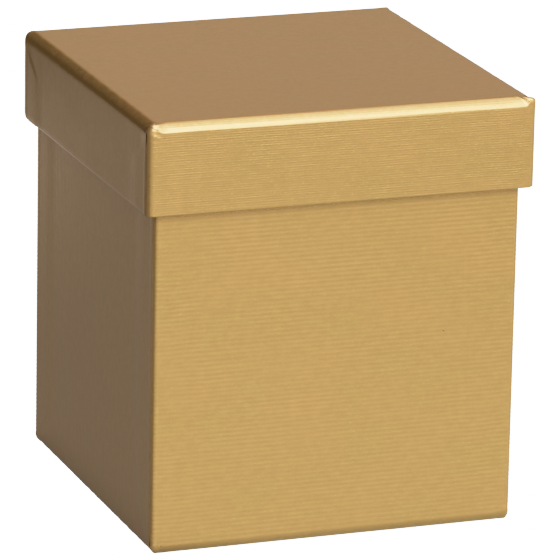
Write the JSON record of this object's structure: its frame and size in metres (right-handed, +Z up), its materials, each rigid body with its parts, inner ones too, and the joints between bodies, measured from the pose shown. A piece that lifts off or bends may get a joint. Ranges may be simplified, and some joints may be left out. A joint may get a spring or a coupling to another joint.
{
  "type": "favor box",
  "caption": "Square rigid set-up favor box with a lift-off lid, wrapped in fine-ribbed metallic gold paper over chipboard trays with stayed corners.",
  "frame": {"origin": "middle of the underside, on the surface that the box stands on", "axes": "+X along the front face to the right, +Y to the back, +Z up, the way the lid lifts off"},
  "size_m": [0.0806, 0.0804, 0.0882],
  "materials": {
    "gold_paper": "metallic, fine-ribbed",
    "chipboard": "raw board",
    "lining_paper": "uncoated",
    "stay_paper": "kraft"
  },
  "bodies": {
    "base": {"base_board": "chipboard", "base_liner": "lining_paper", "base_wrap": "gold_paper", "base_stay_front_left": "stay_paper", "base_stay_front_right": "stay_paper", "base_stay_back_left": "stay_paper", "base_stay_back_right": "stay_paper"},
    "lid": {"lid_board": "chipboard", "lid_liner": "lining_paper", "lid_wrap": "gold_paper", "lid_stay_front_left": "stay_paper", "lid_stay_front_right": "stay_paper", "lid_stay_back_left": "stay_paper", "lid_stay_back_right": "stay_paper"}
  },
  "joints": [
    {"name": "lid_lift", "type": "slide", "parent": "base", "child": "lid", "axis": [0, 0, 1], "range_m": [0, 0.04]}
  ]
}
